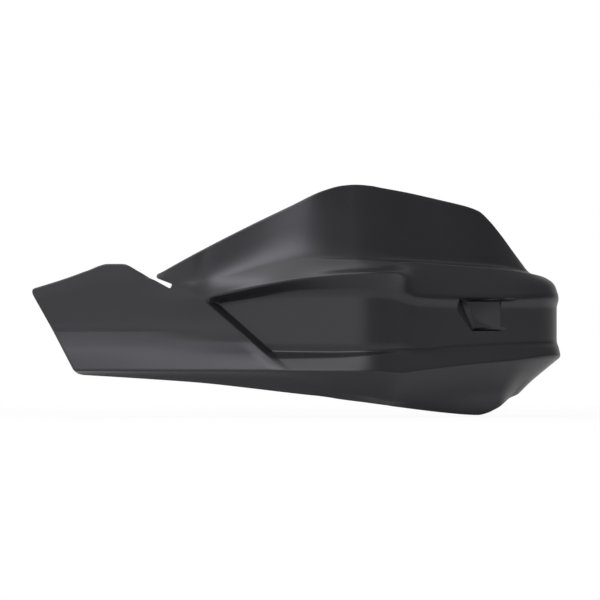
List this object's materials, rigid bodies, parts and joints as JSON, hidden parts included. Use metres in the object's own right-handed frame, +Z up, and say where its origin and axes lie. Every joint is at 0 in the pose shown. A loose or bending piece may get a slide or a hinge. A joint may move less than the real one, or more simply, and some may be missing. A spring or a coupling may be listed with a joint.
{
  "type": "motorcycle hand guard",
  "caption": "Moulded hand guard for the left end of a motorcycle's handlebar, with a tall wind deflector, a stepped impact panel and threaded inserts in bosses on its hidden side.",
  "frame": {"origin": "centre of the outer insert's mouth, on its bore axis", "axes": "+X outboard along the handlebar, towards the rider's left; -Y forward, the side that meets the wind; +Z up; the insert's bore opens towards +Y, at the rider"},
  "size_m": [0.2838, 0.1221, 0.1201],
  "materials": {
    "shell_plastic": "black moulded polypropylene, satin with a fine grain",
    "insert_brass": "turned brass, bare"
  },
  "bodies": {
    "root": {"shell": "shell_plastic", "insert_outer": "insert_brass", "insert_middle": "insert_brass", "insert_inner": "insert_brass"}
  },
  "joints": []
}
